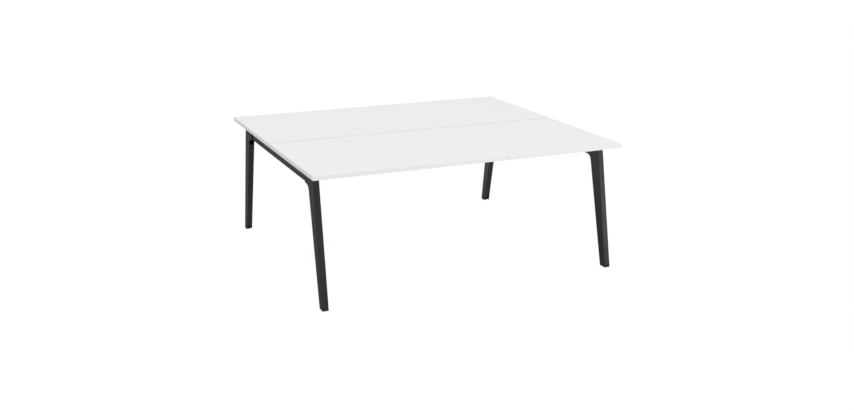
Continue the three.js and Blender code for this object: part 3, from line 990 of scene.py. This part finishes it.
def thread_along(tree, given, bottom, length):
    """A V-shaped ridge that winds up round a bar."""
    ridge_place = minus(tree, given["Thread Radius"], given["Thread Depth"])
    winding = wire(tree, "GeometryNodeCurveSpiral", {
        "Resolution": thread_steps,
        "Rotations": sum_of(tree, "DIVIDE", length, given["Thread Pitch"]),
        "Start Radius": ridge_place,
        "End Radius": ridge_place,
        "Height": length,
    })
    upright = wire(tree, "GeometryNodeSetCurveNormal", {"Curve": winding.outputs[0]}, mode="Z_UP")
    section = wire(tree, "GeometryNodeCurvePrimitiveCircle", {
        "Resolution": ridge_sides, "Radius": given["Thread Depth"]})
    ridge = wire(tree, "GeometryNodeCurveToMesh", {
        "Curve": upright.outputs[0], "Profile Curve": section.outputs["Curve"], "Fill Caps": True})
    return lifted(tree, ridge.outputs[0], bottom)


def stem_tree():
    """A neck, a hexagon and a threaded bar, standing on the hexagon's lower face."""
    tree, given = growing_tree("levelling_stem", stem_sizes)
    height = given["Hexagon Height"]
    hexagon = chamfered_hexagon(tree, given["Hexagon Radius"], height, given["Chamfer Radius"])
    in_hexagon = times(tree, height, stem_share_in_hexagon)
    neck_bottom = times(tree, given["Neck Length"], -1.0)
    neck_length = plus(tree, given["Neck Length"], in_hexagon)
    neck = round_bar(tree, given["Neck Radius"], neck_bottom, neck_length, shank_sides)
    core_radius = minus(tree, given["Thread Radius"], given["Thread Depth"])
    core_bottom = times(tree, height, 1 - stem_share_in_hexagon)
    core_length = plus(tree, given["Bar Length"], in_hexagon)
    core = round_bar(tree, core_radius, core_bottom, core_length, shank_sides)
    thread_bottom = plus(tree, height, given["Thread Pitch"])
    thread_length = minus(tree, given["Bar Length"], times(tree, given["Thread Pitch"], 2.0))
    thread = thread_along(tree, given, thread_bottom, thread_length)
    solid = combined(tree, "UNION", hexagon, neck, core)
    whole = wire(tree, "GeometryNodeJoinGeometry", {0: [solid, thread]})
    end_tree(tree, copies_on_points(tree, given["Start"], whole.outputs[0]), zinc)
    return tree


stem_growth = stem_tree()
for corner in corner_places:
    low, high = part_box(f"{corner}_levelling_stem")
    middle = (low + high) / 2
    hexagon_level = high.z - stem_sizes["Bar Length"] - stem_sizes["Hexagon Height"]
    foot = Vector((middle.x, middle.y, hexagon_level))
    stem = points_facing(f"{corner}_threaded_stem", [(foot, along_z)])
    grow(stem, stem_growth, stem_sizes)
    seat(stem, zinc, "zinc_steel", f"{corner}_stem", f"{corner}_levelling_stem")

# Floor pads: round moulded pads, 26 mm across, with fine grip ribs round the rim and a socket that snaps over
# the stem's neck. They are what the desk stands on, and sit just inside the hollow legs.
pad_edge_radius = 0.0012
pad_edge_steps = 4
pad_socket_radius = 0.0045
pad_socket_depth = 0.003
pad_socket_edge_radius = 0.0004
pad_sides = 72
pad_rib_proud = 0.0002
pad_rib_sizes = {
    "Rib Radius": 0.0005,
    "Rib Height": 0.0028,
    "Rim Radius": (pad_high.x - pad_low.x) / 2 - pad_rib_proud,
    "Rib Level": 0.0011,
}
pad_rib_count = 36
pad_rib_sides = 8


def pad_disc():
    """The plain turned disc at the origin."""
    radius = pad_rib_sizes["Rim Radius"]
    height = pad_high.z - pad_low.z
    section = rounded_outline([
        (Vector((0, 0)), 0),
        (Vector((radius, 0)), pad_edge_radius),
        (Vector((radius, height)), pad_edge_radius),
        (Vector((pad_socket_radius, height)), pad_socket_edge_radius),
        (Vector((pad_socket_radius, height - pad_socket_depth)), 0),
        (Vector((0, height - pad_socket_depth)), 0),
    ], pad_edge_steps)
    rings = []
    for point in section:
        if point.x > 0:
            rings.append([Vector((spot.x, spot.y, point.y)) for spot in circle(point.x, pad_sides)])
    return loft("pad", rings)


def rim_rib_tree():
    """Upright ribs evenly round the rim of a disc."""
    tree, given = growing_tree("rim_ribs", pad_rib_sizes)
    rim = wire(tree, "GeometryNodeMeshCircle", {"Vertices": pad_rib_count, "Radius": given["Rim Radius"]})
    rib = round_bar(tree, given["Rib Radius"], given["Rib Level"], given["Rib Height"], pad_rib_sides)
    ribs = wire(tree, "GeometryNodeInstanceOnPoints", {"Points": rim.outputs[0], "Instance": rib})
    whole = wire(tree, "GeometryNodeJoinGeometry", {0: [given["Start"], ribs.outputs[0]]})
    end_tree(tree, whole.outputs[0], black_plastic)
    return tree


pad = pad_disc()
grow(pad, rim_rib_tree(), pad_rib_sizes)
for corner in corner_places:
    low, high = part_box(f"{corner}_floor_pad")
    middle = (low + high) / 2
    moulded = copy_to(pad, f"{corner}_moulded_pad", Matrix.Translation((middle.x, middle.y, low.z)))
    seat(moulded, black_plastic, "black_plastic", f"{corner}_pad", f"{corner}_floor_pad")
bpy.data.objects.remove(pad)

# Worktops: 22 mm chipboard faced in white melamine with a fine pearl texture, one board for each user.
# Each has four blind holes underneath for the fixing screws.
board_white = (0.80, 0.80, 0.80, 1.0)
board_soft_white = (0.78, 0.78, 0.785, 1.0)
board_edge_ease = 0.0002
blind_hole_depth = 0.0193


def melamine():
    """White melamine: a fine pearl grain, with the gloss wiped a little unevenly."""
    finish, tree, place = new_finish("white_melamine")
    pearl = noise(tree, place, scale=1300.0, detail=3.0)
    wipes = wire(tree, "ShaderNodeTexNoise", {
        "Vector": place, "Scale": 5.0, "Detail": 6.0, "Distortion": 0.6}).outputs[0]
    end_finish(tree, {
        "Base Color": blend(tree, wipes, board_white, board_soft_white),
        "Roughness": between(tree, wipes, low=0.44, high=0.62),
        "Normal": relief(tree, pearl, strength=0.16, depth=0.0002),
        "Specular IOR Level": 0.35,
    })
    return finish


def slab(name, low, high):
    """A plain block that fills a box."""
    middle = (low + high) / 2
    bottom, top = [Vector((middle.x, middle.y, level)) for level in (low.z, high.z)]
    return bar(name, rectangle(high.x - low.x, high.y - low.y), bottom, top, along_x, along_y)


white_melamine = melamine()
for row in rows:
    board = slab(f"{row}_faced_board", *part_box(f"{row}_worktop"))
    holes = []
    for end in ends:
        for screw in (f"{row}_{end}_rail_screw", f"{row}_{end}_leg_head_screw"):
            spot = middle_of(screw)
            place = Vector((spot.x, spot.y, underside))
            hole = circle(screw_hole_radius, hole_sides)
            holes.append(bar_through("blind_hole", hole, place, along_z, cutter_overrun, blind_hole_depth))
    cut(board, holes)
    ease_edges(board, board_edge_ease)
    shade(board)
    seat(board, white_melamine, "white_board", "frame", f"{row}_worktop")

# Edging: 2 mm white plastic strip glued round each board, with its outer edges rounded over. The end strips
# cover the ends of the long ones, so their upright corners are rounded too.
edging_radius = 0.0012
edging_steps = 4
edging_white = (0.78, 0.78, 0.775, 1.0)
edging_streak_white = (0.75, 0.75, 0.745, 1.0)


def edging_plastic():
    """White extruded plastic: fine draw lines along the strip and a satin gloss."""
    finish, tree, place = new_finish("white_edging_plastic")
    drawn = wire(tree, "ShaderNodeMapping", {"Vector": place, "Scale": (6.0, 6.0, 1400.0)})
    lines = noise(tree, drawn.outputs[0], scale=1.0, detail=3.0)
    patches = noise(tree, place, scale=11.0, detail=3.0)
    end_finish(tree, {
        "Base Color": blend(tree, patches, edging_white, edging_streak_white),
        "Roughness": between(tree, patches, low=0.34, high=0.48),
        "Normal": relief(tree, lines, strength=0.14, depth=0.0001),
        "Specular IOR Level": 0.35,
    })
    return finish


def edging_strip(name, low, high, outwards, round_corners):
    """A strip whose edges on its outward face are rounded over, with its upright corners if asked."""
    middle = (low + high) / 2
    strip = slab(name, low, high)
    solid = bmesh.new()
    solid.from_mesh(strip.data)
    chosen = []
    for edge in solid.edges:
        ends_outside = all((vert.co - middle).dot(outwards) > 0 for vert in edge.verts)
        upright = abs(edge.verts[0].co.z - edge.verts[1].co.z) > edging_radius
        if ends_outside and (round_corners or not upright):
            chosen.append(edge)
    bmesh.ops.bevel(solid, geom=chosen, affect="EDGES", offset=edging_radius, segments=edging_steps,
                    profile=0.5)
    solid.to_mesh(strip.data)
    solid.free()
    shade(strip)
    return strip


white_edging = edging_plastic()
edge_directions = {"front": -along_y, "rear": along_y, "left": -along_x, "right": along_x}
for row in rows:
    for edge, outwards in edge_directions.items():
        node = f"{row}_worktop_{edge}_edging"
        strip = edging_strip(f"{row}_{edge}_edging_strip", *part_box(node), outwards, edge in ends)
        seat(strip, white_edging, "white_edging", "frame", node)

# Worktop screws: zinc-plated wood screws with a low domed head and a cross recess, driven up through the top
# wall of the legs and rails into the boards.
wood_screw_sizes = {
    "Thread Radius": 0.0025,
    "Thread Pitch": 0.0022,
    "Thread Depth": 0.0007,
    "Shank Length": 0.0172,
    "Point Length": 0.0038,
    "Head Radius": 0.005,
    "Head Height": 0.0027,
    "Crown Radius": 0.0062,
    "Recess Length": 0.0056,
    "Recess Width": 0.0011,
    "Recess Depth": 0.0014,
}
screw_head_sides = 40
screw_head_rings = 28
screw_shank_sides = 20
screw_share_in_head = 0.25
plain_turns = 1.5


def wood_screw_tree():
    """A domed head below, a threaded shank above it and a point."""
    tree, given = growing_tree("wood_screw", wood_screw_sizes)
    head_bottom = times(tree, given["Head Height"], -1.0)
    crown_place = plus(tree, head_bottom, given["Crown Radius"])
    dome = domed_head(tree, given, head_bottom, crown_place, screw_head_sides, screw_head_rings)
    recess_height = times(tree, given["Recess Depth"], 2.0)
    arms = []
    for x, y in (("Recess Length", "Recess Width"), ("Recess Width", "Recess Length")):
        size = wire(tree, "ShaderNodeCombineXYZ", {"X": given[x], "Y": given[y], "Z": recess_height})
        arm = wire(tree, "GeometryNodeMeshCube", {"Size": size.outputs[0]})
        arms.append(lifted(tree, arm.outputs["Mesh"], head_bottom))
    head = combined(tree, "DIFFERENCE", dome, *arms)
    core_radius = minus(tree, given["Thread Radius"], given["Thread Depth"])
    core_bottom = times(tree, given["Head Height"], -screw_share_in_head)
    core_length = minus(tree, given["Shank Length"], core_bottom)
    core = round_bar(tree, core_radius, core_bottom, core_length, screw_shank_sides)
    point = wire(tree, "GeometryNodeMeshCone", {
        "Vertices": screw_shank_sides, "Radius Bottom": core_radius, "Depth": given["Point Length"]})
    plain = times(tree, given["Thread Pitch"], plain_turns)
    thread = thread_along(tree, given, plain, minus(tree, given["Shank Length"], plain))
    whole = wire(tree, "GeometryNodeJoinGeometry", {0: [
        combined(tree, "UNION", head, core),
        thread,
        lifted(tree, point.outputs["Mesh"], given["Shank Length"]),
    ]})
    end_tree(tree, copies_on_points(tree, given["Start"], whole.outputs[0]), zinc)
    return tree


screw_nodes = [f"{corner}_{kind}" for corner in corner_places for kind in ("rail_screw", "leg_head_screw")]
screw_places = []
for node in screw_nodes:
    middle = middle_of(node)
    screw_places.append((Vector((middle.x, middle.y, underside - frame_wall)), along_z))
worktop_screws = points_facing("worktop_screws", screw_places)
grow(worktop_screws, wood_screw_tree(), wood_screw_sizes)
seat(worktop_screws, zinc, "zinc_steel", "frame", *screw_nodes)
